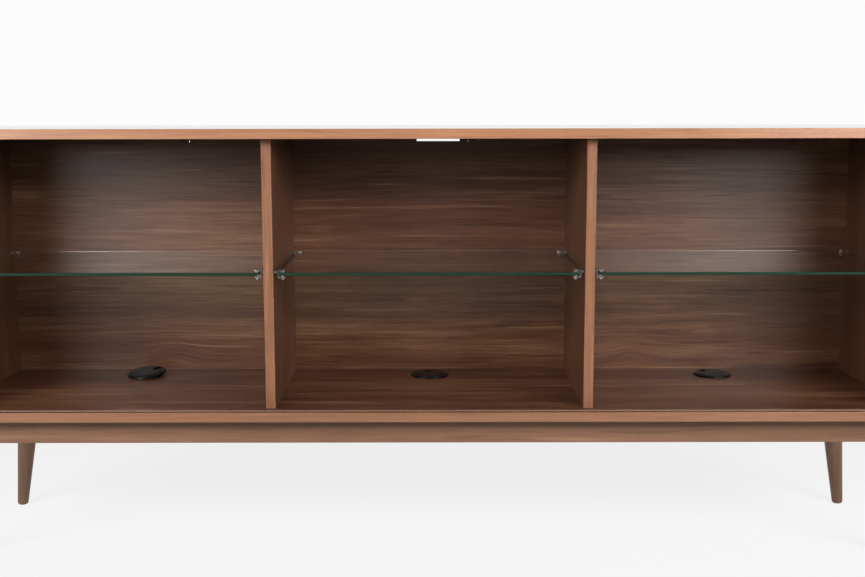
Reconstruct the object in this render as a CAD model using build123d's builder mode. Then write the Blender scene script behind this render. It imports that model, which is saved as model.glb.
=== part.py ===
"""Media cabinet: three open bays with clamped glass shelves, on a rail base with four splayed legs.

Frame: X along the width, front at -Y, Z up from the floor. The origin is the middle of the footprint.
"""
import os
from math import cos, radians, sin

from build123d import *

os.makedirs("parts", exist_ok=True)

# Carcass
bay_width = 600.0
inner_height = 523.0
carcass_depth = 425.0
board = 19.0
edge_band = 2.0
edge_round = 1.0
divider_setback = 36.0
joint_clearance = 0.05

# Guide grooves along the front of the top and bottom panels
groove_setback = 9.0
groove_width = 15.0
groove_depth = 4.0
stop_length = 15.0
stop_width = 12.0
stop_drop = 3.0
track_pin_radius = 1.2
track_pin_seat = 6.0
stop_places = {"left": -458.0, "inner": 65.0, "outer": 82.8}
pin_drops = {"left": 6.0, "inner": 4.6, "outer": 2.6}

# Back panels, seated in a rebate
back_thickness = 9.0
back_recess = 8.0
back_lap = 9.0
panel_clearance = 0.3
slot_width = 94.0
slot_height = 15.5
slot_offset = 19.0
back_screw_span = 400.0
back_screw_rise = 260.0
back_screw_radius = 1.5
back_screw_head = 3.0
back_screw_head_height = 1.5
back_screw_length = 20.0

# Dowels between the upright panels and the top and bottom
dowel_radius = 4.0
dowel_bite_flat = 10.0
dowel_bite_end = 19.0
dowel_spacing = 130.0

# Shelf pin holes
pin_setback = 29.0
pin_rear_setback = 23.0
pin_pitch = 32.0
pin_rows = 5
pin_radius = 2.5
pin_hole_depth = 8.5
pin_level = 265.5

# Glass shelves
glass_thickness = 6.0
glass_end_gap = 10.5
glass_front_gap = 3.0
glass_back_gap = 5.0
glass_over_pin = 1.3

# Shelf clamps
collar_radius = 4.5
collar_length = 2.0
neck_length = 3.0
web_thickness = 3.0
jaw_length = 12.0
jaw_width = 14.0
upper_jaw = 1.6
lower_jaw = 3.0
jaw_round = 2.5
pad_thickness = 0.6
glass_clearance = 0.3
screw_room = 4.0
thumb_radius = 2.0
thumb_tip_radius = 3.5
thumb_tip_height = 1.5
knob_radius = 4.5
knob_height = 3.0
knob_gap = 0.5
knob_slot_width = 1.2
knob_slot_depth = 1.2
thumb_clearance = 0.1

# Cable grommets
grommet_from_back = 68.0
grommet_hole_radius = 32.0
flange_radius = 41.0
flange_height = 4.0
flange_round = 3.4
barrel_radius = 30.0
barrel_wall = 2.0
barrel_length = 18.0
seat_width = 5.5
seat_depth = 2.0
cap_clearance = 0.5
cap_lift = 0.3
cap_thickness = 2.7
cap_round = 1.0
spigot_height = 4.0
spigot_wall = 2.0
notch_width = 16.0
notch_depth = 18.0
loose_tilt = 7.4
loose_tilt_heading = 64.0
loose_lift = 0.2
loose_shift = 1.8
notch_headings = {"left": 34.0, "centre": 105.0, "right": 135.0}

# Base frame
rail_height = 50.0
rail_thickness = 20.0
rail_front_setback = 35.0
rail_rear_setback = 10.0
rail_end_setback = 12.0
block_size = 90.0
base_screw_radius = 2.5
base_screw_head = 5.0
base_screw_head_height = 3.0
base_screw_bite = 8.0
base_screw_recess = 20.0

# Legs
leg_height = 236.0
leg_foot_radius = 11.5
leg_top_radius = 24.5
leg_foot_round = 6.0
foot_inset_x = 18.0
foot_inset_y = 35.0
leg_splay = 25.0
plate_size = 60.0
plate_thickness = 4.0
plate_round = 6.0
bolt_radius = 4.0
bolt_leg_bite = 32.0
bolt_block_bite = 25.0
plate_screw_spacing = 44.0
plate_screw_radius = 2.0
plate_screw_head = 4.0
plate_screw_head_height = 2.0
plate_screw_bite = 20.0

# Levels and stations that follow from the driving dimensions
bay_pitch = bay_width + board
divider_x = bay_pitch / 2
inner_half = 1.5 * bay_width + board
side_x = inner_half + board / 2
half_width = inner_half + board
front_y = -carcass_depth / 2
rear_y = carcass_depth / 2
panel_under = leg_height + rail_height
floor_z = panel_under + board
ceiling_z = floor_z + inner_height
back_y = rear_y - back_recess - back_thickness
divider_front = front_y + divider_setback
groove_front = front_y + groove_setback
groove_mid = groove_front + groove_width / 2
track_pin_rows = {name: x + stop_length / 2 + track_pin_radius for name, x in stop_places.items()}
pin_z = floor_z + pin_level
pin_columns = (divider_front + pin_setback, back_y - pin_rear_setback)
pin_levels = [pin_z + (row - pin_rows // 2) * pin_pitch for row in range(pin_rows)]
bays = {"left": -bay_pitch, "centre": 0.0, "right": bay_pitch}

# Anchors of the boxes below
from_floor = (Align.CENTER, Align.CENTER, Align.MIN)
from_ceiling = (Align.CENTER, Align.CENTER, Align.MAX)
from_front = (Align.CENTER, Align.MIN, Align.MIN)
from_rear = (Align.CENTER, Align.MAX, Align.MIN)
hung_from_rear = (Align.CENTER, Align.MAX, Align.MAX)
hung_from_front = (Align.CENTER, Align.MIN, Align.MAX)

# Upright panels: centre line and the directions in which their faces show shelf holes
uprights = {
    "left_side_panel": (-side_x, (1,)),
    "left_divider": (-divider_x, (-1, 1)),
    "right_divider": (divider_x, (-1, 1)),
    "right_side_panel": (side_x, (-1,)),
}
upright_lines = [line for line, _ in uprights.values()]
upright_front = {name: divider_front if "divider" in name else front_y for name in uprights}
dowel_rows = [
    (divider_front + back_y) / 2 + step * dowel_spacing for step in (-1, 0, 1)
]

# Back screws: along the top and bottom rebate, and down the edges of each panel
back_screw_rows = [x + step * back_screw_span / 2 for x in bays.values() for step in (-1, 1)]
back_screw_levels = [floor_z + inner_height / 2 + step * back_screw_rise / 2 for step in (-1, 1)]
top_screw_z = ceiling_z + back_lap / 2
bottom_screw_z = floor_z - back_lap / 2
seam_step = board / 4
side_screw_x = inner_half + back_lap / 2
upright_screw_lines = {
    "left_side_panel": [-side_screw_x],
    "left_divider": [-divider_x - seam_step, -divider_x + seam_step],
    "right_divider": [divider_x - seam_step, divider_x + seam_step],
    "right_side_panel": [side_screw_x],
}
back_screw_bite = back_screw_length - back_thickness

# Grommet places, each with the plane of its flange
grommet_y = back_y - grommet_from_back
tilt_lift = flange_radius * sin(radians(loose_tilt)) + loose_lift
tilt_heading = Vector(cos(radians(loose_tilt_heading)), sin(radians(loose_tilt_heading)), 0)
tilt_direction = Vector(0, 0, cos(radians(loose_tilt))) - tilt_heading * sin(radians(loose_tilt))
tilt_across = Vector(cos(radians(loose_tilt)), 0, sin(radians(loose_tilt)))
loose_place = Vector(bays["left"], grommet_y, floor_z + tilt_lift) - tilt_heading * loose_shift
grommet_planes = {
    "left": Plane(loose_place, x_dir=tilt_across, z_dir=tilt_direction),
    "centre": Plane((bays["centre"], grommet_y, floor_z)),
    "right": Plane((bays["right"], grommet_y, floor_z)),
}

# Base stations
rail_half = half_width - rail_end_setback
rail_front = front_y + rail_front_setback
rail_rear = rear_y - rail_rear_setback
rail_mid = (rail_front + rail_rear) / 2
side_rail_length = rail_rear - rail_front - 2 * rail_thickness
corners = {
    "front_left": (-1, -1),
    "front_right": (1, -1),
    "rear_left": (-1, 1),
    "rear_right": (1, 1),
}
foot_x = half_width - foot_inset_x
foot_step = rail_rear - foot_inset_y - rail_mid
leg_top_x = foot_x - leg_splay
leg_top_z = leg_height - plate_thickness
leg_tops = [(sx * leg_top_x, rail_mid + sy * foot_step) for sx, sy in corners.values()]
block_x = rail_half - rail_thickness - block_size / 2
block_step = (side_rail_length - block_size) / 2
plate_screws_xy = [
    (x + step_x * plate_screw_spacing / 2, y + step_y * plate_screw_spacing / 2)
    for x, y in leg_tops
    for step_x in (-1, 1)
    for step_y in (-1, 1)
]
long_screw_step = (rail_rear - rail_front - rail_thickness) / 2
cross_screw_step = side_rail_length / 4
long_screws = {
    name: [(sx * divider_x / 2, rail_mid + sy * long_screw_step) for sx in (-1, 1)]
    for name, sy in (("front_rail", -1), ("rear_rail", 1))
}
cross_screws = {
    name: [(sx * divider_x, rail_mid + sy * cross_screw_step) for sy in (-1, 1)]
    for name, sx in (("left_cross_rail", -1), ("right_cross_rail", 1))
}
base_screws_xy = sum([*long_screws.values(), *cross_screws.values()], [])
base_screw_seat = leg_height + base_screw_recess

# Clamp stations, measured from the panel face into the bay
glass_top = pin_z + glass_over_pin
glass_under = glass_top - glass_thickness
web_start = collar_length + neck_length
jaw_reach = web_start + web_thickness + jaw_length
jaw_under_top = glass_top + glass_clearance + pad_thickness
lower_jaw_top = glass_under - screw_room
lower_jaw_under = lower_jaw_top - lower_jaw
clamp_top = jaw_under_top + upper_jaw
thumb_x = jaw_reach - jaw_length / 2
knob_top = lower_jaw_under - knob_gap
thumb_top = glass_under - glass_clearance


def clamp_stations(bay_x):
    """Where each of a bay's clamps meets its panel: (name, face x, y, direction into the bay)."""
    stations = []
    for side, direction in (("left", 1), ("right", -1)):
        for end, y in zip(("front", "rear"), pin_columns):
            stations.append((f"{end}_{side}", bay_x - direction * bay_width / 2, y, direction))
    return stations


# Top panel
with BuildPart() as top_panel:
    with Locations((0, front_y + edge_band, ceiling_z)):
        Box(2 * half_width, carcass_depth - edge_band, board, align=from_front)
    with Locations((0, rear_y, ceiling_z)):
        Box(
            2 * (inner_half + back_lap),
            back_recess + back_thickness,
            back_lap,
            align=from_rear,
            mode=Mode.SUBTRACT,
        )
    with Locations((0, groove_front, ceiling_z)):
        Box(2 * inner_half, groove_width, groove_depth, align=from_front, mode=Mode.SUBTRACT)
    with Locations([(x, y, ceiling_z) for x in upright_lines for y in dowel_rows]):
        Cylinder(dowel_radius + joint_clearance, dowel_bite_flat, align=from_floor, mode=Mode.SUBTRACT)
    with Locations([(x, back_y, top_screw_z) for x in back_screw_rows]):
        Cylinder(
            back_screw_radius + joint_clearance,
            back_screw_bite,
            rotation=(90, 0, 0),
            align=from_floor,
            mode=Mode.SUBTRACT,
        )
    with Locations([(x, groove_mid, ceiling_z + groove_depth) for x in track_pin_rows.values()]):
        Cylinder(track_pin_radius + joint_clearance, track_pin_seat, align=from_floor, mode=Mode.SUBTRACT)
    ends = top_panel.faces().sort_by(Axis.X)
    fillet((ends[0].edges() + ends[-1].edges()).filter_by(Axis.Y), edge_round)
top_panel.part.label = "top_panel"
export_step(top_panel.part, "parts/top_panel.step")

# Bottom panel
with BuildPart() as bottom_panel:
    with Locations((0, front_y + edge_band, floor_z)):
        Box(2 * half_width, carcass_depth - edge_band, board, align=hung_from_front)
    with Locations((0, rear_y, floor_z)):
        Box(
            2 * (inner_half + back_lap),
            back_recess + back_thickness,
            back_lap,
            align=hung_from_rear,
            mode=Mode.SUBTRACT,
        )
    with Locations((0, groove_front, floor_z)):
        Box(2 * inner_half, groove_width, groove_depth, align=hung_from_front, mode=Mode.SUBTRACT)
    with Locations([(x, y, floor_z) for x in upright_lines for y in dowel_rows]):
        Cylinder(dowel_radius + joint_clearance, dowel_bite_flat, align=from_ceiling, mode=Mode.SUBTRACT)
    with Locations([(x, back_y, bottom_screw_z) for x in back_screw_rows]):
        Cylinder(
            back_screw_radius + joint_clearance,
            back_screw_bite,
            rotation=(90, 0, 0),
            align=from_floor,
            mode=Mode.SUBTRACT,
        )
    with Locations([(x, grommet_y, floor_z) for x in bays.values()]):
        Cylinder(grommet_hole_radius, board, align=from_ceiling, mode=Mode.SUBTRACT)
    with Locations([(x, y, panel_under) for x, y in base_screws_xy]):
        Cylinder(base_screw_radius + joint_clearance, base_screw_bite, align=from_floor, mode=Mode.SUBTRACT)
    ends = bottom_panel.faces().sort_by(Axis.X)
    fillet((ends[0].edges() + ends[-1].edges()).filter_by(Axis.Y), edge_round)
bottom_panel.part.label = "bottom_panel"
export_step(bottom_panel.part, "parts/bottom_panel.step")

# Side panels and dividers
for name, (line, shown_faces) in uprights.items():
    start_y = upright_front[name] + edge_band
    end_y = back_y if "divider" in name else rear_y
    with BuildPart() as upright:
        with Locations((line, start_y, floor_z)):
            Box(board, end_y - start_y, inner_height, align=from_front)
        if "side" in name:
            with Locations((line + shown_faces[0] * (board - back_lap) / 2, rear_y, floor_z)):
                Box(
                    back_lap,
                    back_recess + back_thickness,
                    inner_height,
                    align=from_rear,
                    mode=Mode.SUBTRACT,
                )
        with Locations([(line, y, floor_z) for y in dowel_rows]):
            Cylinder(dowel_radius + joint_clearance, dowel_bite_end, align=from_floor, mode=Mode.SUBTRACT)
        with Locations([(line, y, ceiling_z) for y in dowel_rows]):
            Cylinder(dowel_radius + joint_clearance, dowel_bite_end, align=from_ceiling, mode=Mode.SUBTRACT)
        with Locations([(x, back_y, z) for x in upright_screw_lines[name] for z in back_screw_levels]):
            Cylinder(
                back_screw_radius + joint_clearance,
                back_screw_bite,
                rotation=(90, 0, 0),
                align=from_floor,
                mode=Mode.SUBTRACT,
            )
        for facing in shown_faces:
            with Locations(
                [(line + facing * board / 2, y, z) for y in pin_columns for z in pin_levels]
            ):
                Cylinder(
                    pin_radius,
                    pin_hole_depth,
                    rotation=(0, -90 * facing, 0),
                    align=from_floor,
                    mode=Mode.SUBTRACT,
                )
    upright.part.label = name
    export_step(upright.part, f"parts/{name}.step")

# Edge bands on the front edges
for name, z in (("top_edge_band", ceiling_z), ("bottom_edge_band", panel_under)):
    with BuildPart() as flat_band:
        with Locations((0, front_y, z)):
            Box(2 * half_width, edge_band, board, align=from_front)
        glued_edges = flat_band.faces().sort_by(Axis.Y)[-1].edges()
        fillet(flat_band.edges() - glued_edges, edge_round)
    flat_band.part.label = name
    export_step(flat_band.part, f"parts/{name}.step")
for name, (line, _) in uprights.items():
    band_name = name.replace("_panel", "") + "_edge_band"
    with BuildPart() as upright_band:
        with Locations((line, upright_front[name], floor_z)):
            Box(board, edge_band, inner_height, align=from_front)
        shown_face = upright_band.faces().sort_by(Axis.Y)[0]
        fillet(shown_face.edges().filter_by(Axis.Z), edge_round)
    upright_band.part.label = band_name
    export_step(upright_band.part, f"parts/{band_name}.step")

# Back panels, meeting on the dividers
for name, x in bays.items():
    left_end = -inner_half - back_lap if name == "left" else x - bay_pitch / 2
    right_end = inner_half + back_lap if name == "right" else x + bay_pitch / 2
    low_z = floor_z - back_lap + panel_clearance
    high_z = ceiling_z + back_lap - panel_clearance
    edge_lines = [
        line
        for lines in upright_screw_lines.values()
        for line in lines
        if left_end < line < right_end
    ]
    holes = [(row, z) for row in back_screw_rows for z in (bottom_screw_z, top_screw_z)]
    holes = [(row, z) for row, z in holes if left_end < row < right_end]
    holes += [(line, z) for line in edge_lines for z in back_screw_levels]
    with BuildPart() as back_panel:
        with BuildSketch(Plane.XZ.offset(-back_y)):
            with Locations(((left_end + right_end) / 2, (low_z + high_z) / 2)):
                Rectangle(right_end - left_end - 2 * panel_clearance, high_z - low_z)
            if name == "centre":
                with Locations((slot_offset, ceiling_z - slot_height)):
                    Rectangle(
                        slot_width,
                        slot_height + back_lap,
                        align=(Align.CENTER, Align.MIN),
                        mode=Mode.SUBTRACT,
                    )
        extrude(amount=-back_thickness)
        with Locations([Location((hx, back_y + back_thickness, hz), (-90, 0, 0)) for hx, hz in holes]):
            CounterSinkHole(
                back_screw_radius + joint_clearance,
                back_screw_head + joint_clearance,
                depth=back_thickness,
            )
    back_panel.part.label = f"{name}_back_panel"
    export_step(back_panel.part, f"parts/{name}_back_panel.step")

# Back panel screws
back_screw_places = [(x, z) for x in back_screw_rows for z in (bottom_screw_z, top_screw_z)]
back_screw_places += [
    (x, z) for lines in upright_screw_lines.values() for x in lines for z in back_screw_levels
]
with BuildPart() as back_panel_screws:
    with Locations([Location((x, back_y + back_thickness, z), (90, 0, 0)) for x, z in back_screw_places]):
        Cylinder(back_screw_radius, back_screw_length - joint_clearance, align=from_floor)
        Cone(back_screw_head, back_screw_radius, back_screw_head_height, align=from_floor)
back_panel_screws.part.label = "back_panel_screws"
export_step(back_panel_screws.part, "parts/back_panel_screws.step")

# Dowels
with BuildPart() as carcass_dowels:
    with Locations([(x, y, floor_z - dowel_bite_flat) for x in upright_lines for y in dowel_rows]):
        Cylinder(dowel_radius, dowel_bite_flat + dowel_bite_end, align=from_floor)
    with Locations([(x, y, ceiling_z + dowel_bite_flat) for x in upright_lines for y in dowel_rows]):
        Cylinder(dowel_radius, dowel_bite_flat + dowel_bite_end, align=from_ceiling)
carcass_dowels.part.label = "carcass_dowels"
export_step(carcass_dowels.part, "parts/carcass_dowels.step")

# Stops and pins in the upper guide groove
with BuildPart() as track_stops:
    with Locations([(x, groove_mid, ceiling_z + groove_depth) for x in stop_places.values()]):
        Box(stop_length, stop_width, groove_depth + stop_drop, align=from_ceiling)
track_stops.part.label = "track_stops"
export_step(track_stops.part, "parts/track_stops.step")
with BuildPart() as track_pins:
    for name, x in track_pin_rows.items():
        with Locations((x, groove_mid, ceiling_z - pin_drops[name])):
            Cylinder(
                track_pin_radius,
                pin_drops[name] + groove_depth + track_pin_seat,
                align=from_floor,
            )
track_pins.part.label = "track_pins"
export_step(track_pins.part, "parts/track_pins.step")

# Glass shelves
for name, x in bays.items():
    glass_front = divider_front + glass_front_gap
    glass_depth = back_y - glass_back_gap - glass_front
    with BuildPart() as shelf:
        with Locations((x, glass_front, glass_under)):
            Box(bay_width - 2 * glass_end_gap, glass_depth, glass_thickness, align=from_front)
    shelf.part.label = f"{name}_glass_shelf"
    export_step(shelf.part, f"parts/{name}_glass_shelf.step")

# Shelf clamps: peg, collar, neck and a C-shaped jaw, four to a bay
for name, x in bays.items():
    with BuildPart() as clamps:
        for _, face_x, y, direction in clamp_stations(x):
            with Locations(Location((face_x, y, pin_z), (0, 0, 90 - 90 * direction))):
                with Locations((-pin_hole_depth + joint_clearance, 0, 0)):
                    Cylinder(
                        pin_radius - joint_clearance,
                        pin_hole_depth + web_start,
                        rotation=(0, 90, 0),
                        align=from_floor,
                    )
                Cylinder(collar_radius, collar_length, rotation=(0, 90, 0), align=from_floor)
                with Locations((web_start, 0, lower_jaw_under - pin_z)):
                    Box(
                        web_thickness,
                        jaw_width,
                        clamp_top - lower_jaw_under,
                        align=(Align.MIN, Align.CENTER, Align.MIN),
                    )
                    Box(
                        web_thickness + jaw_length,
                        jaw_width,
                        lower_jaw,
                        align=(Align.MIN, Align.CENTER, Align.MIN),
                    )
                with Locations((web_start, 0, jaw_under_top - pin_z)):
                    Box(
                        web_thickness + jaw_length,
                        jaw_width,
                        upper_jaw,
                        align=(Align.MIN, Align.CENTER, Align.MIN),
                    )
                with Locations((thumb_x, 0, lower_jaw_under - pin_z)):
                    Cylinder(
                        thumb_radius + thumb_clearance,
                        lower_jaw,
                        align=from_floor,
                        mode=Mode.SUBTRACT,
                    )
        for direction in (1, -1):
            tip_x = x - direction * (bay_width / 2 - jaw_reach)
            tip_edges = clamps.edges().filter_by(Axis.Z).filter_by_position(
                Axis.X, tip_x - joint_clearance, tip_x + joint_clearance
            )
            fillet(tip_edges, jaw_round)
    clamps.part.label = f"{name}_shelf_clamps"
    export_step(clamps.part, f"parts/{name}_shelf_clamps.step")

# Soft pads under the upper jaws
with BuildPart() as clamp_pads:
    for x in bays.values():
        for _, face_x, y, direction in clamp_stations(x):
            with Locations((face_x + direction * thumb_x, y, jaw_under_top)):
                Cylinder(thumb_tip_radius, pad_thickness, align=from_ceiling)
clamp_pads.part.label = "clamp_pads"
export_step(clamp_pads.part, "parts/clamp_pads.step")

# Thumb screws, one under each clamp
for name, x in bays.items():
    for corner, face_x, y, direction in clamp_stations(x):
        screw_name = f"{name}_bay_{corner}_thumb_screw"
        with BuildPart() as thumb_screw:
            with Locations((face_x + direction * thumb_x, y, knob_top)):
                Cylinder(thumb_radius, thumb_top - knob_top, align=from_floor)
                Cylinder(knob_radius, knob_height, align=from_ceiling)
            with Locations((face_x + direction * thumb_x, y, thumb_top)):
                Cylinder(thumb_tip_radius, thumb_tip_height, align=from_ceiling)
            with Locations((face_x + direction * thumb_x, y, knob_top - knob_height)):
                Box(
                    2 * knob_radius,
                    knob_slot_width,
                    knob_slot_depth,
                    align=from_floor,
                    mode=Mode.SUBTRACT,
                )
        thumb_screw.part.label = screw_name
        export_step(thumb_screw.part, f"parts/{screw_name}.step")

# Cable grommets: a flanged liner with a seat for its turning cap
bore_radius = barrel_radius - barrel_wall
seat_radius = bore_radius + seat_width
cap_radius = seat_radius - cap_clearance
spigot_radius = bore_radius - cap_clearance
seat_z = flange_height - seat_depth
cap_under = seat_z + cap_lift
for name, plane in grommet_planes.items():
    with BuildPart(plane) as liner:
        Cylinder(flange_radius, flange_height, align=from_floor)
        Cylinder(barrel_radius, barrel_length, align=from_ceiling)
        with Locations((0, 0, flange_height)):
            Cylinder(
                bore_radius,
                flange_height + barrel_length,
                align=from_ceiling,
                mode=Mode.SUBTRACT,
            )
            Cylinder(seat_radius, seat_depth, align=from_ceiling, mode=Mode.SUBTRACT)
        rim = liner.edges().filter_by(GeomType.CIRCLE).sort_by(SortBy.RADIUS)[-2:]
        upper_rim = rim.sort_by(lambda edge: plane.to_local_coords(edge.center()).Z)[-1]
        fillet(upper_rim, flange_round)
    liner.part.label = f"{name}_grommet_liner"
    export_step(liner.part, f"parts/{name}_grommet_liner.step")

    with BuildPart(plane) as cap:
        with Locations((0, 0, cap_under)):
            Cylinder(cap_radius, cap_thickness, align=from_floor)
            Cylinder(spigot_radius, spigot_height, align=from_ceiling)
            Cylinder(
                spigot_radius - spigot_wall,
                spigot_height,
                align=from_ceiling,
                mode=Mode.SUBTRACT,
            )
        rim = cap.edges().filter_by(GeomType.CIRCLE).sort_by(SortBy.RADIUS)[-2:]
        upper_rim = rim.sort_by(lambda edge: plane.to_local_coords(edge.center()).Z)[-1]
        fillet(upper_rim, cap_round)
        with Locations(Location((0, 0, cap_under - spigot_height), (0, 0, notch_headings[name]))):
            with Locations((cap_radius - notch_depth + notch_width / 2, 0, 0)):
                Cylinder(
                    notch_width / 2,
                    spigot_height + cap_thickness,
                    align=from_floor,
                    mode=Mode.SUBTRACT,
                )
                Box(
                    notch_depth,
                    notch_width,
                    spigot_height + cap_thickness,
                    align=(Align.MIN, Align.CENTER, Align.MIN),
                    mode=Mode.SUBTRACT,
                )
    cap.part.label = f"{name}_grommet_cap"
    export_step(cap.part, f"parts/{name}_grommet_cap.step")

# Base rails
for name, y in (("front_rail", rail_front), ("rear_rail", rail_rear - rail_thickness)):
    with BuildPart() as long_rail:
        with Locations((0, y, leg_height)):
            Box(2 * rail_half, rail_thickness, rail_height, align=from_front)
        with Locations([(screw_x, screw_y, leg_height) for screw_x, screw_y in long_screws[name]]):
            Cylinder(base_screw_radius + joint_clearance, rail_height, align=from_floor, mode=Mode.SUBTRACT)
            Cylinder(
                base_screw_head + joint_clearance,
                base_screw_recess,
                align=from_floor,
                mode=Mode.SUBTRACT,
            )
        with Locations([(screw_x, screw_y, leg_height) for screw_x, screw_y in plate_screws_xy]):
            Cylinder(
                plate_screw_radius + joint_clearance,
                plate_screw_bite,
                align=from_floor,
                mode=Mode.SUBTRACT,
            )
        fillet(long_rail.faces().sort_by(Axis.Z)[0].edges().filter_by(Axis.X), edge_round)
    long_rail.part.label = name
    export_step(long_rail.part, f"parts/{name}.step")
short_rails = {
    "left_rail": -rail_half + rail_thickness / 2,
    "left_cross_rail": -divider_x,
    "right_cross_rail": divider_x,
    "right_rail": rail_half - rail_thickness / 2,
}
for name, x in short_rails.items():
    with BuildPart() as short_rail:
        with Locations((x, rail_mid, leg_height)):
            Box(rail_thickness, side_rail_length, rail_height, align=from_floor)
        if name in cross_screws:
            with Locations([(screw_x, screw_y, leg_height) for screw_x, screw_y in cross_screws[name]]):
                Cylinder(
                    base_screw_radius + joint_clearance,
                    rail_height,
                    align=from_floor,
                    mode=Mode.SUBTRACT,
                )
                Cylinder(
                    base_screw_head + joint_clearance,
                    base_screw_recess,
                    align=from_floor,
                    mode=Mode.SUBTRACT,
                )
        else:
            with Locations([(screw_x, screw_y, leg_height) for screw_x, screw_y in plate_screws_xy]):
                Cylinder(
                    plate_screw_radius + joint_clearance,
                    plate_screw_bite,
                    align=from_floor,
                    mode=Mode.SUBTRACT,
                )
        fillet(short_rail.faces().sort_by(Axis.Z)[0].edges().filter_by(Axis.Y), edge_round)
    short_rail.part.label = name
    export_step(short_rail.part, f"parts/{name}.step")

# Corner blocks behind the leg plates
with BuildPart() as corner_blocks:
    with Locations([(sx * block_x, rail_mid + sy * block_step, leg_height) for sx, sy in corners.values()]):
        Box(block_size, block_size, rail_height, align=from_floor)
    with Locations([(x, y, leg_height) for x, y in leg_tops]):
        Cylinder(bolt_radius + joint_clearance, bolt_block_bite, align=from_floor, mode=Mode.SUBTRACT)
    with Locations([(x, y, leg_height) for x, y in plate_screws_xy]):
        Cylinder(
            plate_screw_radius + joint_clearance,
            plate_screw_bite,
            align=from_floor,
            mode=Mode.SUBTRACT,
        )
corner_blocks.part.label = "corner_blocks"
export_step(corner_blocks.part, "parts/corner_blocks.step")

# Base screws, driven up through the rails into the bottom panel
with BuildPart() as base_screws:
    with Locations([(x, y, base_screw_seat) for x, y in base_screws_xy]):
        Cylinder(
            base_screw_radius,
            rail_height - base_screw_recess + base_screw_bite - joint_clearance,
            align=from_floor,
        )
        Cylinder(base_screw_head, base_screw_head_height, align=from_ceiling)
base_screws.part.label = "base_screws"
export_step(base_screws.part, "parts/base_screws.step")

# Legs, turned and tapered, splayed outwards to the sides
for name, (sx, sy) in corners.items():
    with BuildPart() as leg:
        y = rail_mid + sy * foot_step
        with BuildSketch(Plane((sx * foot_x, y, 0))):
            Circle(leg_foot_radius)
        with BuildSketch(Plane((sx * leg_top_x, y, leg_top_z))):
            Circle(leg_top_radius)
        loft()
        fillet(leg.faces().sort_by(Axis.Z)[0].edges(), leg_foot_round)
        with Locations((sx * leg_top_x, y, leg_top_z)):
            Cylinder(bolt_radius + joint_clearance, bolt_leg_bite, align=from_ceiling, mode=Mode.SUBTRACT)
    leg.part.label = f"{name}_leg"
    export_step(leg.part, f"parts/{name}_leg.step")

# Leg plates with their hanger bolts and screws
with BuildPart() as leg_plates:
    with BuildSketch(Plane.XY.offset(leg_top_z)):
        with Locations(leg_tops):
            RectangleRounded(plate_size, plate_size, plate_round)
    extrude(amount=plate_thickness)
    with Locations([(x, y, leg_top_z) for x, y in leg_tops]):
        Cylinder(bolt_radius + joint_clearance, plate_thickness, align=from_floor, mode=Mode.SUBTRACT)
    with Locations([Location((x, y, leg_top_z), (180, 0, 0)) for x, y in plate_screws_xy]):
        CounterSinkHole(
            plate_screw_radius + joint_clearance,
            plate_screw_head + joint_clearance,
            depth=plate_thickness,
        )
leg_plates.part.label = "leg_plates"
export_step(leg_plates.part, "parts/leg_plates.step")
with BuildPart() as leg_hanger_bolts:
    with Locations([(x, y, leg_top_z - bolt_leg_bite + joint_clearance) for x, y in leg_tops]):
        Cylinder(
            bolt_radius,
            bolt_leg_bite + plate_thickness + bolt_block_bite - 2 * joint_clearance,
            align=from_floor,
        )
leg_hanger_bolts.part.label = "leg_hanger_bolts"
export_step(leg_hanger_bolts.part, "parts/leg_hanger_bolts.step")
with BuildPart() as leg_plate_screws:
    with Locations([(x, y, leg_top_z) for x, y in plate_screws_xy]):
        Cylinder(
            plate_screw_radius,
            plate_thickness + plate_screw_bite - joint_clearance,
            align=from_floor,
        )
        Cone(plate_screw_head, plate_screw_radius, plate_screw_head_height, align=from_floor)
leg_plate_screws.part.label = "leg_plate_screws"
export_step(leg_plate_screws.part, "parts/leg_plate_screws.step")
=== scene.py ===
"""Looks of the media cabinet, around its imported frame.

Metres, in the frame's axes: X along the width, the open front at -Y, Z up from the floor.
Every piece of the frame keeps its own shape, and gets a node material here.
"""
import math

import bpy
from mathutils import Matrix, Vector


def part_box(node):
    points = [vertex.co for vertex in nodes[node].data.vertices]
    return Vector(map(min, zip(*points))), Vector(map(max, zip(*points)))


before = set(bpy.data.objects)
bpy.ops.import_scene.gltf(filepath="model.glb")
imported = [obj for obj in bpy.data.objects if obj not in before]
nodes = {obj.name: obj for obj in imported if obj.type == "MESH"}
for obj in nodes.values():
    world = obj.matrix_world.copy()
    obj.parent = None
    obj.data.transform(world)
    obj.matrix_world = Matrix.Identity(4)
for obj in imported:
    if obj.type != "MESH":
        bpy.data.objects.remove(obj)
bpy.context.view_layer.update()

# The photograph's camera
camera_place = (0.0068, -2.5511, 0.8893)
camera_pitch = 8.344
camera_roll = 0.089
lens_mm = 51.9
sensor_mm = 36.0

# Studio: each softbox has its place, what it aims at and its watts
white = (1.0, 1.0, 1.0, 1.0)
softboxes = {
    "left": ((-1.62, -1.4, 1.2), (-0.6, 0.1, 0.55), 12.2),
    "right": ((1.56, -1.4, 1.24), (0.58, 0.1, 0.57), 14.0),
}
softbox_size = (1.1, 0.65)
softbox_spread = 100.0
key_place = (0.0, -2.4, 1.55)
key_aim = (0.0, 0.1, 0.5)
key_size = (0.9, 0.4)
key_watts = 3.7
key_spread = 70.0
ambient_front = 0.02
ambient_back = 0.4
background_level = 0.97
floor_half = 30.0
floor_tone = 0.9
front_floor_tone = 0.06
floor_shadow_share = 0.14
floor_glow = 0.95
floor_fade = (2.5, 6.0)
sweep_end = (-2.7, -1.7)

# Where a direction's Y turns from the room's dark front to its pale back
room_turn = (-0.35, 0.45)

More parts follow.
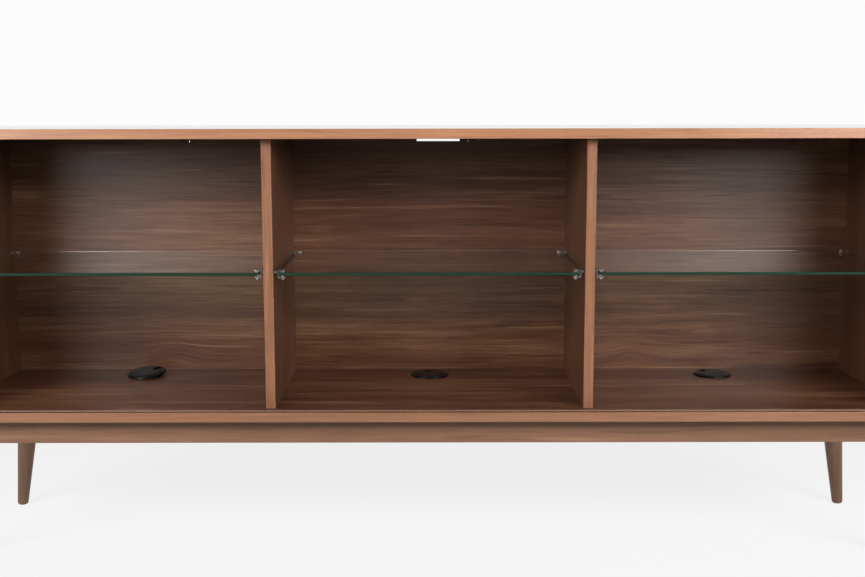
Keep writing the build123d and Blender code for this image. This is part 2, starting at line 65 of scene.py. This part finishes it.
# Wood: pattern frequencies in cycles per metre, along the grain and across it
slow_bend = (1.3, 3.5)
quick_bend = (5.0, 22.0)
band_pattern = (0.9, 26.0)
streak_pattern = (4.0, 115.0)
line_pattern = (2.2, 190.0)
patch_pattern = (3.0, 20.0)
fibre_pattern = (14.0, 700.0)
pore_pattern = (55.0, 1500.0)
tone_pattern = (1.2, 4.0)
slow_bend_reach = 0.026
quick_bend_reach = 0.005
edge_softness = 0.0006
pore_depth = 0.0003
core_margin = 0.0006
core_pattern = 450.0
cut_facing = 0.7

# Wood: where each mark starts and is full on its noise, and its share in the tone
streak_start = (0.5, 0.74)
line_start = (0.56, 0.74)
pore_start = (0.66, 0.8)
dark_patch = (0.36, 0.62)
pale_patch = (0.62, 0.4)
middle_tone = 0.52
band_share = 0.5
tone_share = 0.35
streak_share = 0.85
fibre_share = 0.5
dark_streak_share = -0.62
pale_line_share = 0.3
pore_share = -0.14
fibre_gloss_share = 0.16
band_gloss_share = 0.1
fibre_height = 0.5
wood_relief = 0.18
no_lacquer = (0.0, 0.1)

# Glass
edge_green = (0.02, 0.062, 0.038, 1.0)
# Painted shade: the arrises and end faces of the glass are coloured darker than the ground green
painted_shade_green = (0.006, 0.022, 0.013, 1.0)
# Painted highlight: the rear edge is polished, and its pale colour paints a bright line along it
rear_highlight_green = (0.5, 0.66, 0.52, 1.0)
edge_shade = (0.08, 0.13, 0.1, 1.0)
glass_shade = (0.74, 0.78, 0.76, 1.0)
glass_tint = (0.15, 0.72, 0.48, 1.0)
tint_density = 3.0
glass_ior = 1.52
flat_facing = (0.3, 0.7)
end_facing = 0.5
arris_reach = (0.35, 0.95)
edge_roughness = 0.22
edge_clearness = 0.4

# Metal, plastic and rubber: frequencies of fine grit and broad clouds in cycles per metre
metal_grit = 900.0
metal_cloud = 120.0
plastic_grit = 2600.0
plastic_cloud = 60.0
rubber_cloud = 700.0

# Metal, plastic and rubber: shares of light in dark clouds, shares in roughness, and reliefs
metal_shade = 0.88
metal_grit_share = 0.1
metal_cloud_share = 0.14
plastic_shade = 0.75
plastic_grit_share = 0.18
plastic_cloud_share = 0.1
plastic_specular = 0.25
plastic_relief = 0.12
plastic_softness = 0.0004
grit_depth = 0.0001
rubber_shade = 0.85
rubber_gloss = 0.45
rubber_cloud_share = 0.2
rubber_scatter = 0.2
rubber_scatter_reach = (0.001, 0.001, 0.001)


def srgb(red, green, blue):
    """A colour written as the screen shows it, 0 to 255, as linear light."""
    parts = [channel / 255 for channel in (red, green, blue)]
    linear = [p / 12.92 if p <= 0.04045 else ((p + 0.055) / 1.055) ** 2.4 for p in parts]
    return (*linear, 1.0)


class Shader:
    """The node tree of a material or the world, with short calls for the nodes that are used here."""

    def __init__(self, owner, output="OutputMaterial"):
        owner.use_nodes = True
        self.tree = owner.node_tree
        self.tree.nodes.clear()
        self.output = self.tree.nodes.new("ShaderNode" + output)

    def feed(self, socket, value):
        if isinstance(value, bpy.types.NodeSocket):
            self.tree.links.new(value, socket)
        else:
            socket.default_value = value

    def add(self, kind, inputs, **settings):
        node = self.tree.nodes.new("ShaderNode" + kind)
        for key, value in settings.items():
            setattr(node, key, value)
        for key, value in inputs.items():
            self.feed(node.inputs[key], value)
        return node

    def math(self, operation, *values, clamp=False):
        node = self.tree.nodes.new("ShaderNodeMath")
        node.operation = operation
        node.use_clamp = clamp
        for socket, value in zip(node.inputs, values):
            self.feed(socket, value)
        return node.outputs[0]

    def total(self, *values):
        result = values[0]
        for value in values[1:]:
            result = self.math("ADD", result, value)
        return result

    def share(self, value, gain):
        """A noise value's distance from its middle, times gain."""
        return self.math("MULTIPLY", self.math("SUBTRACT", value, 0.5), gain)

    def step(self, value, low, high):
        """0 below low, 1 above high, smooth between; high may be the lower one."""
        inputs = {"Value": value, "From Min": low, "From Max": high}
        node = self.add("MapRange", inputs, interpolation_type="SMOOTHSTEP")
        return node.outputs["Result"]

    def between(self, factor, first, second):
        node = self.tree.nodes.new("ShaderNodeMix")
        node.data_type = "FLOAT"
        for socket, value in zip(node.inputs[:1] + node.inputs[2:4], (factor, first, second)):
            self.feed(socket, value)
        return node.outputs[0]

    def colours(self, factor, first, second):
        node = self.tree.nodes.new("ShaderNodeMix")
        node.data_type = "RGBA"
        for socket, value in zip(node.inputs[:1] + node.inputs[6:8], (factor, first, second)):
            self.feed(socket, value)
        return node.outputs[2]

    def noise(self, vector, detail=2.0, roughness=0.5):
        inputs = {"Vector": vector, "Scale": 1.0, "Detail": detail, "Roughness": roughness}
        return self.add("TexNoise", inputs).outputs[0]

    def even_noise(self, place, frequency, detail=2.0):
        """Noise with one frequency in all directions."""
        return self.noise(self.vector(*[self.math("MULTIPLY", p, frequency) for p in place]), detail)

    def ramp(self, value, stops):
        node = self.add("ValToRGB", {"Fac": value})
        elements = node.color_ramp.elements
        while len(elements) < len(stops):
            elements.new(0.5)
        for element, (place, colour) in zip(elements, stops):
            element.position = place
            element.color = colour
        return node.outputs["Color"]

    def place(self):
        """The point's own place on the piece, as three values."""
        place = self.add("TexCoord", {}).outputs["Object"]
        return self.add("SeparateXYZ", {"Vector": place}).outputs[:]

    def normal(self):
        facing = self.add("NewGeometry", {}).outputs["True Normal"]
        return self.add("SeparateXYZ", {"Vector": facing}).outputs[:]

    def vector(self, *values):
        return self.add("CombineXYZ", dict(zip("XYZ", values))).outputs[0]

    def bump(self, height, strength, distance, softness=None):
        inputs = {"Height": height, "Strength": strength, "Distance": distance}
        if softness:
            inputs["Normal"] = self.add("Bevel", {"Radius": softness}, samples=4).outputs[0]
        return self.add("Bump", inputs).outputs[0]

    def show(self, shader, where="Surface"):
        self.tree.links.new(shader.outputs[0], self.output.inputs[where])

    def surface(self, **inputs):
        """The main shader; an input's name has underscores for its spaces."""
        named = {key.replace("_", " "): value for key, value in inputs.items()}
        self.show(self.add("BsdfPrincipled", named))


def darker(colour, share):
    """A colour with this share of its light."""
    return (*[channel * share for channel in colour[:3]], 1.0)


def grained(shader, along, across, depth, pattern, **settings):
    """Noise drawn out along the grain, at a pattern's two frequencies."""
    length, width = pattern
    vector = shader.vector(
        shader.math("MULTIPLY", along, length),
        shader.math("MULTIPLY", across, width),
        shader.math("MULTIPLY", depth, width),
    )
    return shader.noise(vector, **settings)


def eye_bend(shader, along, across, eye):
    """How far the grain is pushed aside round one eye in the figure."""
    (eye_along, eye_across), (reach_along, reach_across), push = eye
    run = shader.math("DIVIDE", shader.math("SUBTRACT", along, eye_along), reach_along)
    rise = shader.math("DIVIDE", shader.math("SUBTRACT", across, eye_across), reach_across)
    spread = shader.math("ADD", shader.math("MULTIPLY", run, run), shader.math("MULTIPLY", rise, rise))
    fading = shader.math("EXPONENT", shader.math("MULTIPLY", spread, -1.0))
    return shader.math("MULTIPLY", fading, -push)


def inside(shader, place, box):
    """1 on the walls of holes and grooves, 0 on the outer faces of a piece with this box."""
    result = 1.0
    for value, low, high in zip(place, *box):
        middle, half = (low + high) / 2, (high - low) / 2
        distance = shader.math("ABSOLUTE", shader.math("SUBTRACT", value, middle))
        clear = shader.math("LESS_THAN", distance, half - core_margin)
        result = shader.math("MULTIPLY", result, clear)
    return result


def wood(name, grain, tones, contrast, gloss, eyes=(), core_of=None, lacquer=no_lacquer):
    """Satin lacquered wood. grain names the axes along it, across it and through it."""
    material = bpy.data.materials.new(name)
    shader = Shader(material)
    place = shader.place()
    axes = ["XYZ".index(letter) for letter in grain]
    along, across, depth = [place[axis] for axis in axes]
    cut = shader.math("GREATER_THAN", shader.math("ABSOLUTE", shader.normal()[axes[0]]), cut_facing)
    along, across, depth = (
        shader.between(cut, along, across),
        shader.between(cut, across, depth),
        shader.between(cut, depth, along),
    )

    slow = grained(shader, along, across, depth, slow_bend, detail=1.5)
    quick = grained(shader, along, across, depth, quick_bend, detail=2.0)
    bends = [shader.share(slow, slow_bend_reach), shader.share(quick, quick_bend_reach)]
    bends += [eye_bend(shader, along, across, eye) for eye in eyes]
    bent = shader.total(across, *bends)

    bands = grained(shader, along, bent, depth, band_pattern, detail=3.0, roughness=0.55)
    streaks = grained(shader, along, bent, depth, streak_pattern, detail=3.0, roughness=0.6)
    lines = grained(shader, along, bent, depth, line_pattern, detail=2.0)
    patches = grained(shader, along, across, depth, patch_pattern, detail=1.5)
    fibres = grained(shader, along, bent, depth, fibre_pattern, detail=2.0)
    pores = grained(shader, along, across, depth, pore_pattern, detail=0.0)
    tone = grained(shader, along, across, depth, tone_pattern, detail=1.0)
    dark_streaks = shader.math(
        "MULTIPLY", shader.step(streaks, *streak_start), shader.step(patches, *dark_patch)
    )
    pale_lines = shader.math(
        "MULTIPLY", shader.step(lines, *line_start), shader.step(patches, *pale_patch)
    )
    pore_marks = shader.step(pores, *pore_start)
    value = shader.total(
        middle_tone,
        shader.share(bands, band_share * contrast),
        shader.share(tone, tone_share * contrast),
        shader.share(streaks, streak_share * contrast),
        shader.share(fibres, fibre_share * contrast),
        shader.math("MULTIPLY", dark_streaks, dark_streak_share * contrast),
        shader.math("MULTIPLY", pale_lines, pale_line_share * contrast),
        shader.math("MULTIPLY", pore_marks, pore_share * contrast),
    )
    colour = shader.ramp(value, tones)
    if core_of:
        core = shader.ramp(shader.even_noise(place, core_pattern), core_tones)
        colour = shader.colours(inside(shader, place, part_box(core_of)), colour, core)
    roughness = shader.total(
        gloss, shader.share(fibres, fibre_gloss_share), shader.share(bands, band_gloss_share)
    )
    relief = shader.math("SUBTRACT", shader.math("MULTIPLY", fibres, fibre_height), pore_marks)
    shader.surface(
        Base_Color=colour,
        Roughness=roughness,
        Normal=shader.bump(relief, wood_relief, pore_depth, edge_softness),
        Coat_Weight=lacquer[0],
        Coat_Roughness=lacquer[1],
    )
    return material


# Tones of the woods, from the dark streaks to the pale sapwood lines
# The veneers are darker than the solid edge woods: partly their own tone, partly painted shade for the
# insides of the bays
veneer_tones = [
    (0.0, srgb(58, 25, 14)),
    (0.25, srgb(73, 38, 23)),
    (0.5, srgb(95, 60, 39)),
    (0.75, srgb(117, 81, 57)),
    (1.0, srgb(144, 108, 80)),
]
# The backs are darker in the same way: partly their own tone, partly painted shade for the insides of the
# bays
back_tones = [
    (0.0, srgb(66, 32, 20)),
    (0.25, srgb(79, 45, 29)),
    (0.5, srgb(98, 62, 41)),
    (0.75, srgb(118, 81, 57)),
    (1.0, srgb(142, 106, 78)),
]
edge_tones = [
    (0.0, srgb(104, 66, 43)),
    (0.3, srgb(138, 93, 65)),
    (0.5, srgb(160, 112, 82)),
    (0.72, srgb(178, 130, 98)),
    (1.0, srgb(202, 158, 124)),
]
# Painted shade: a darker copy of the edge tones, for the bottom and upright edges, which get less light
# from above than the top edge
shaded_edge_tones = [
    (0.0, srgb(94, 58, 37)),
    (0.3, srgb(120, 80, 56)),
    (0.5, srgb(138, 95, 69)),
    (0.72, srgb(158, 114, 86)),
    (1.0, srgb(194, 150, 116)),
]
solid_tones = [
    (0.0, srgb(80, 51, 35)),
    (0.3, srgb(107, 74, 53)),
    (0.5, srgb(122, 87, 65)),
    (0.72, srgb(142, 105, 80)),
    (1.0, srgb(172, 136, 107)),
]
# Painted shade: darker than the solid tones of the rails, for the legs in the shadow of the body
shaded_leg_tones = [
    (0.0, srgb(68, 44, 31)),
    (0.3, srgb(90, 61, 44)),
    (0.5, srgb(106, 75, 55)),
    (0.72, srgb(122, 89, 67)),
    (1.0, srgb(146, 115, 92)),
]
pale_tones = [
    (0.0, srgb(150, 118, 84)),
    (0.5, srgb(196, 164, 124)),
    (1.0, srgb(224, 198, 160)),
]
core_tones = [
    (0.3, srgb(96, 76, 60)),
    (0.5, srgb(120, 97, 77)),
    (0.7, srgb(142, 118, 96)),
]


def glass():
    """Clear float glass with ground green edges, which lets the lamps through. The arrises and ends carry
    painted shade, and the rear edge a painted highlight.
    """
    material = bpy.data.materials.new("float_glass")
    shader = Shader(material)
    low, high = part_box("centre_glass_shelf")
    _, inward, height = shader.place()
    flat = shader.step(shader.math("ABSOLUTE", shader.normal()[2]), *flat_facing)
    rear = shader.math("GREATER_THAN", inward, high[1] - edge_softness)
    middle, half = (low[2] + high[2]) / 2, (high[2] - low[2]) / 2
    off_middle = shader.math("ABSOLUTE", shader.math("SUBTRACT", height, middle))
    # The arrises near the top and bottom of each edge, and the end faces, take painted shade
    arris = shader.step(off_middle, *[reach * half for reach in arris_reach])
    end = shader.math("GREATER_THAN", shader.math("ABSOLUTE", shader.normal()[0]), end_facing)
    ground = shader.colours(shader.math("MAXIMUM", arris, end), edge_green, painted_shade_green)
    # Painted highlight: the rear edge gets a pale colour and full clearness, which shows as a bright line
    edges = shader.colours(rear, ground, rear_highlight_green)
    body = shader.add(
        "BsdfPrincipled",
        {
            "Base Color": shader.colours(flat, edges, white),
            "Roughness": shader.between(flat, edge_roughness, 0.0),
            "IOR": glass_ior,
            "Transmission Weight": shader.math("MAXIMUM", flat, shader.between(rear, edge_clearness, 1.0)),
        },
    )
    clear = shader.add("BsdfTransparent", {"Color": shader.colours(flat, edge_shade, glass_shade)})
    path = shader.add("LightPath", {})
    passing = shader.math("MAXIMUM", path.outputs["Is Shadow Ray"], path.outputs["Is Diffuse Ray"])
    mixed = shader.add("MixShader", {0: passing, 1: body.outputs[0], 2: clear.outputs[0]})
    tint = shader.add("VolumeAbsorption", {"Color": glass_tint, "Density": tint_density})
    shader.show(mixed)
    shader.show(tint, "Volume")
    return material


def metal(name, colour, gloss, relief, softness):
    """Plated metal with faint wipe marks."""
    material = bpy.data.materials.new(name)
    shader = Shader(material)
    place = shader.place()
    grit = shader.even_noise(place, metal_grit, detail=3.0)
    cloud = shader.even_noise(place, metal_cloud)
    shader.surface(
        Base_Color=shader.colours(cloud, darker(colour, metal_shade), colour),
        Metallic=1.0,
        Roughness=shader.total(
            gloss, shader.share(grit, metal_grit_share), shader.share(cloud, metal_cloud_share)
        ),
        Normal=shader.bump(grit, relief, grit_depth, softness),
    )
    return material


def plastic(name, colour, gloss):
    """Moulded plastic with a fine spark-eroded texture."""
    material = bpy.data.materials.new(name)
    shader = Shader(material)
    place = shader.place()
    grit = shader.even_noise(place, plastic_grit)
    cloud = shader.even_noise(place, plastic_cloud)
    shader.surface(
        Base_Color=shader.colours(cloud, darker(colour, plastic_shade), colour),
        Roughness=shader.total(
            gloss, shader.share(grit, plastic_grit_share), shader.share(cloud, plastic_cloud_share)
        ),
        Specular_IOR_Level=plastic_specular,
        Normal=shader.bump(grit, plastic_relief, grit_depth, plastic_softness),
    )
    return material


def rubber(name, colour):
    """Soft clear pad, a little cloudy."""
    material = bpy.data.materials.new(name)
    shader = Shader(material)
    cloud = shader.even_noise(shader.place(), rubber_cloud)
    shader.surface(
        Base_Color=shader.colours(cloud, darker(colour, rubber_shade), colour),
        Roughness=shader.total(rubber_gloss, shader.share(cloud, rubber_cloud_share)),
        Subsurface_Weight=rubber_scatter,
        Subsurface_Radius=rubber_scatter_reach,
    )
    return material


# Eyes in the figure of the side bays' backs: place along and across, reach each way, push
back_eyes = [
    ((-0.575, 0.340), (0.055, 0.035), 0.015),
    ((0.443, 0.345), (0.055, 0.035), 0.015),
]

# Finishes. A lacquer has its weight and its roughness
flat_boards = {"top_panel": (1.0, 0.07), "bottom_panel": (0.2, 0.12)}
uprights = ["left_side_panel", "right_side_panel", "left_divider", "right_divider"]
finish_of = {}
for name, lacquer in flat_boards.items():
    finish_of[name] = wood(
        f"walnut_{name}", "XYZ", veneer_tones, contrast=1.9, gloss=0.42, core_of=name, lacquer=lacquer
    )
for name in uprights:
    finish_of[name] = wood(
        f"walnut_{name}", "ZYX", veneer_tones, contrast=0.7, gloss=0.42, core_of=name
    )
back_finish = wood(
    "walnut_back", "XZY", back_tones, contrast=1.6, gloss=0.38, eyes=back_eyes, lacquer=(0.6, 0.34)
)
top_edge_finish = wood("walnut_top_edge", "XZY", edge_tones, contrast=0.6, gloss=0.36)
# The bottom and upright edges take painted shade through their darker tones
bottom_edge_finish = wood("walnut_bottom_edge", "XZY", shaded_edge_tones, contrast=0.6, gloss=0.42)
upright_edge_finish = wood("walnut_upright_edge", "ZXY", shaded_edge_tones, contrast=0.85, gloss=0.4)
edge_finish_of = {"top_edge_band": top_edge_finish, "bottom_edge_band": bottom_edge_finish}
long_rail_finish = wood("walnut_long_rail", "XZY", solid_tones, contrast=0.7, gloss=0.42)
short_rail_finish = wood("walnut_short_rail", "YZX", solid_tones, contrast=0.7, gloss=0.42)
# The legs take painted shade through their darker tones
leg_finish = wood("walnut_leg", "ZXY", shaded_leg_tones, contrast=0.7, gloss=0.42)
pale_finish = wood("pale_hardwood", "XYZ", pale_tones, contrast=0.5, gloss=0.6)
nickel = metal("bright_nickel", srgb(246, 243, 238), gloss=0.24, relief=0.04, softness=0.0012)
steel = metal("zinc_plated_steel", srgb(186, 186, 182), gloss=0.34, relief=0.1, softness=0.0003)
black_plastic = plastic("black_plastic", srgb(13, 13, 14), gloss=0.36)
shelf_glass = glass()
pad_rubber = rubber("clear_pad", srgb(222, 222, 216))


def finish_for(name):
    """The material of a piece, by its name."""
    if name in finish_of:
        return finish_of[name]
    if name.endswith("_back_panel"):
        return back_finish
    if name.endswith("_edge_band"):
        return edge_finish_of.get(name, upright_edge_finish)
    if name in ("front_rail", "rear_rail"):
        return long_rail_finish
    if name.endswith("_rail"):
        return short_rail_finish
    if name.endswith("_leg"):
        return leg_finish
    if name.endswith("_glass_shelf"):
        return shelf_glass
    if name.endswith(("_shelf_clamps", "_thumb_screw")) or name == "track_pins":
        return nickel
    if name.endswith(("_grommet_liner", "_grommet_cap")) or name == "track_stops":
        return black_plastic
    if name in ("corner_blocks", "carcass_dowels"):
        return pale_finish
    if name == "clamp_pads":
        return pad_rubber
    return steel


for name, node in nodes.items():
    for material_slot in node.material_slots:
        material_slot.material = finish_for(name)


def make_camera():
    camera = bpy.data.objects.new("camera", bpy.data.cameras.new("camera"))
    camera.data.lens = lens_mm
    camera.data.sensor_width = sensor_mm
    camera.data.sensor_fit = "HORIZONTAL"
    camera.location = camera_place
    camera.rotation_euler = (math.radians(90 - camera_pitch), math.radians(camera_roll), 0)
    bpy.context.scene.collection.objects.link(camera)
    bpy.context.scene.camera = camera


def make_lamp(name, place, aim, size, watts, spread, mirrored=True, top_panel=None):
    """An area lamp. top_panel, if set, makes it light that piece only, or all but that piece."""
    lamp = bpy.data.lights.new(name, "AREA")
    lamp.shape = "RECTANGLE"
    lamp.size, lamp.size_y = size
    lamp.energy = watts
    lamp.spread = math.radians(spread)
    holder = bpy.data.objects.new(name, lamp)
    holder.location = place
    holder.rotation_euler = (Vector(aim) - Vector(place)).to_track_quat("-Z", "Y").to_euler()
    holder.visible_glossy = mirrored
    holder.visible_transmission = mirrored
    if top_panel:
        receivers = bpy.data.collections.new(f"{name}_receivers")
        receivers.objects.link(nodes["top_panel"])
        receivers.collection_objects[0].light_linking.link_state = top_panel
        holder.light_linking.receiver_collection = receivers
    bpy.context.scene.collection.objects.link(holder)


def seen_directly(shader):
    """Two values: 1 for rays from the camera, and 1 for rays that metal, lacquer and glass send on."""
    path = shader.add("LightPath", {})
    sent_on = shader.math("MAXIMUM", path.outputs["Is Glossy Ray"], path.outputs["Is Transmission Ray"])
    return path.outputs["Is Camera Ray"], sent_on


def make_floor():
    mesh = bpy.data.meshes.new("floor")
    corners = [(x * floor_half, y * floor_half, 0) for x, y in ((-1, -1), (1, -1), (1, 1), (-1, 1))]
    mesh.from_pydata(corners, [], [(0, 1, 2, 3)])
    floor = bpy.data.objects.new("floor", mesh)
    bpy.context.scene.collection.objects.link(floor)
    material = bpy.data.materials.new("pale_floor")
    shader = Shader(material)
    seen, sent_on = seen_directly(shader)
    paint = shader.add("BsdfDiffuse", {"Color": (floor_tone, floor_tone, floor_tone, 1.0)})
    sideways, inward, _ = shader.place()
    reach = shader.math("MAXIMUM", shader.math("ABSOLUTE", sideways), shader.math("ABSOLUTE", inward))
    far = shader.step(reach, *floor_fade)
    glow_level = shader.between(far, floor_glow, background_level)
    glow = shader.add("Emission", {"Color": white, "Strength": glow_level})
    shaded = shader.between(far, floor_shadow_share, 0.0)
    lit = shader.add("MixShader", {0: shaded, 1: glow.outputs[0], 2: paint.outputs[0]})
    swept = shader.step(inward, *sweep_end)
    tone = shader.between(swept, front_floor_tone, floor_tone)
    sweep = shader.add("BsdfDiffuse", {"Color": shader.vector(tone, tone, tone)})
    shown = shader.math("MAXIMUM", seen, shader.math("MULTIPLY", sent_on, swept))
    mixed = shader.add("MixShader", {0: shown, 1: sweep.outputs[0], 2: lit.outputs[0]})
    shader.show(mixed)
    mesh.materials.append(material)


def make_world():
    """White where the camera sees it; for the rest a room that is paler behind the cabinet."""
    world = bpy.data.worlds.new("studio")
    bpy.context.scene.world = world
    shader = Shader(world, "OutputWorld")
    direction = shader.add("TexCoord", {}).outputs["Generated"]
    facing = shader.add("SeparateXYZ", {"Vector": direction}).outputs["Y"]
    behind = shader.step(facing, *room_turn)
    seen, sent_on = seen_directly(shader)
    room = shader.between(behind, ambient_front, ambient_back)
    mirrored = shader.between(behind, ambient_front, background_level)
    level = shader.between(sent_on, room, mirrored)
    level = shader.between(seen, level, background_level)
    shader.show(shader.add("Background", {"Color": white, "Strength": level}))


make_camera()
for name, (place, aim, watts) in softboxes.items():
    # The top gets the same light without the lamp's mirror image
    lamp_values = (place, aim, softbox_size, watts, softbox_spread)
    make_lamp(f"{name}_softbox", *lamp_values, top_panel="EXCLUDE")
    make_lamp(f"{name}_top_light", *lamp_values, mirrored=False, top_panel="INCLUDE")
make_lamp("key_light", key_place, key_aim, key_size, key_watts, key_spread, mirrored=False)
make_floor()
make_world()
bpy.context.scene.view_settings.view_transform = "Standard"
